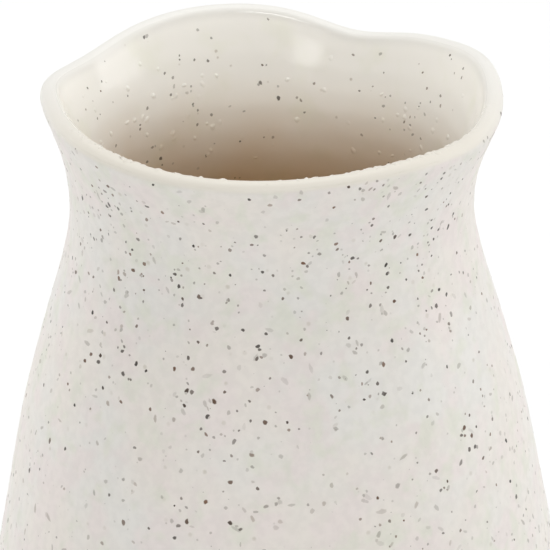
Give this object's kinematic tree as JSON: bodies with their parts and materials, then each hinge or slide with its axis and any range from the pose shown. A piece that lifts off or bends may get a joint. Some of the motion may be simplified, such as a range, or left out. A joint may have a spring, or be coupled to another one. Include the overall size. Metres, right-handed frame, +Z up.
{
  "type": "vase",
  "caption": "Tall round vase with a full belly, a drawn-in neck and a flared lip that rises and dips in soft waves; speckled glaze outside, glossy inside.",
  "frame": {"origin": "middle of the foot, on the surface that the vase stands on", "axes": "+Z up along the axis of turning, +X towards the right-hand rise of the lip, +Y towards the back, where the lip is highest"},
  "size_m": [0.1552, 0.1552, 0.2326],
  "materials": {
    "bare_clay": "matte",
    "speckled_glaze": "satin",
    "liner_glaze": "gloss",
    "iron_spots": "satin"
  },
  "bodies": {
    "root": {"stoneware_body": "bare_clay", "outer_glaze": "speckled_glaze", "liner_glaze": "liner_glaze"}
  },
  "joints": []
}
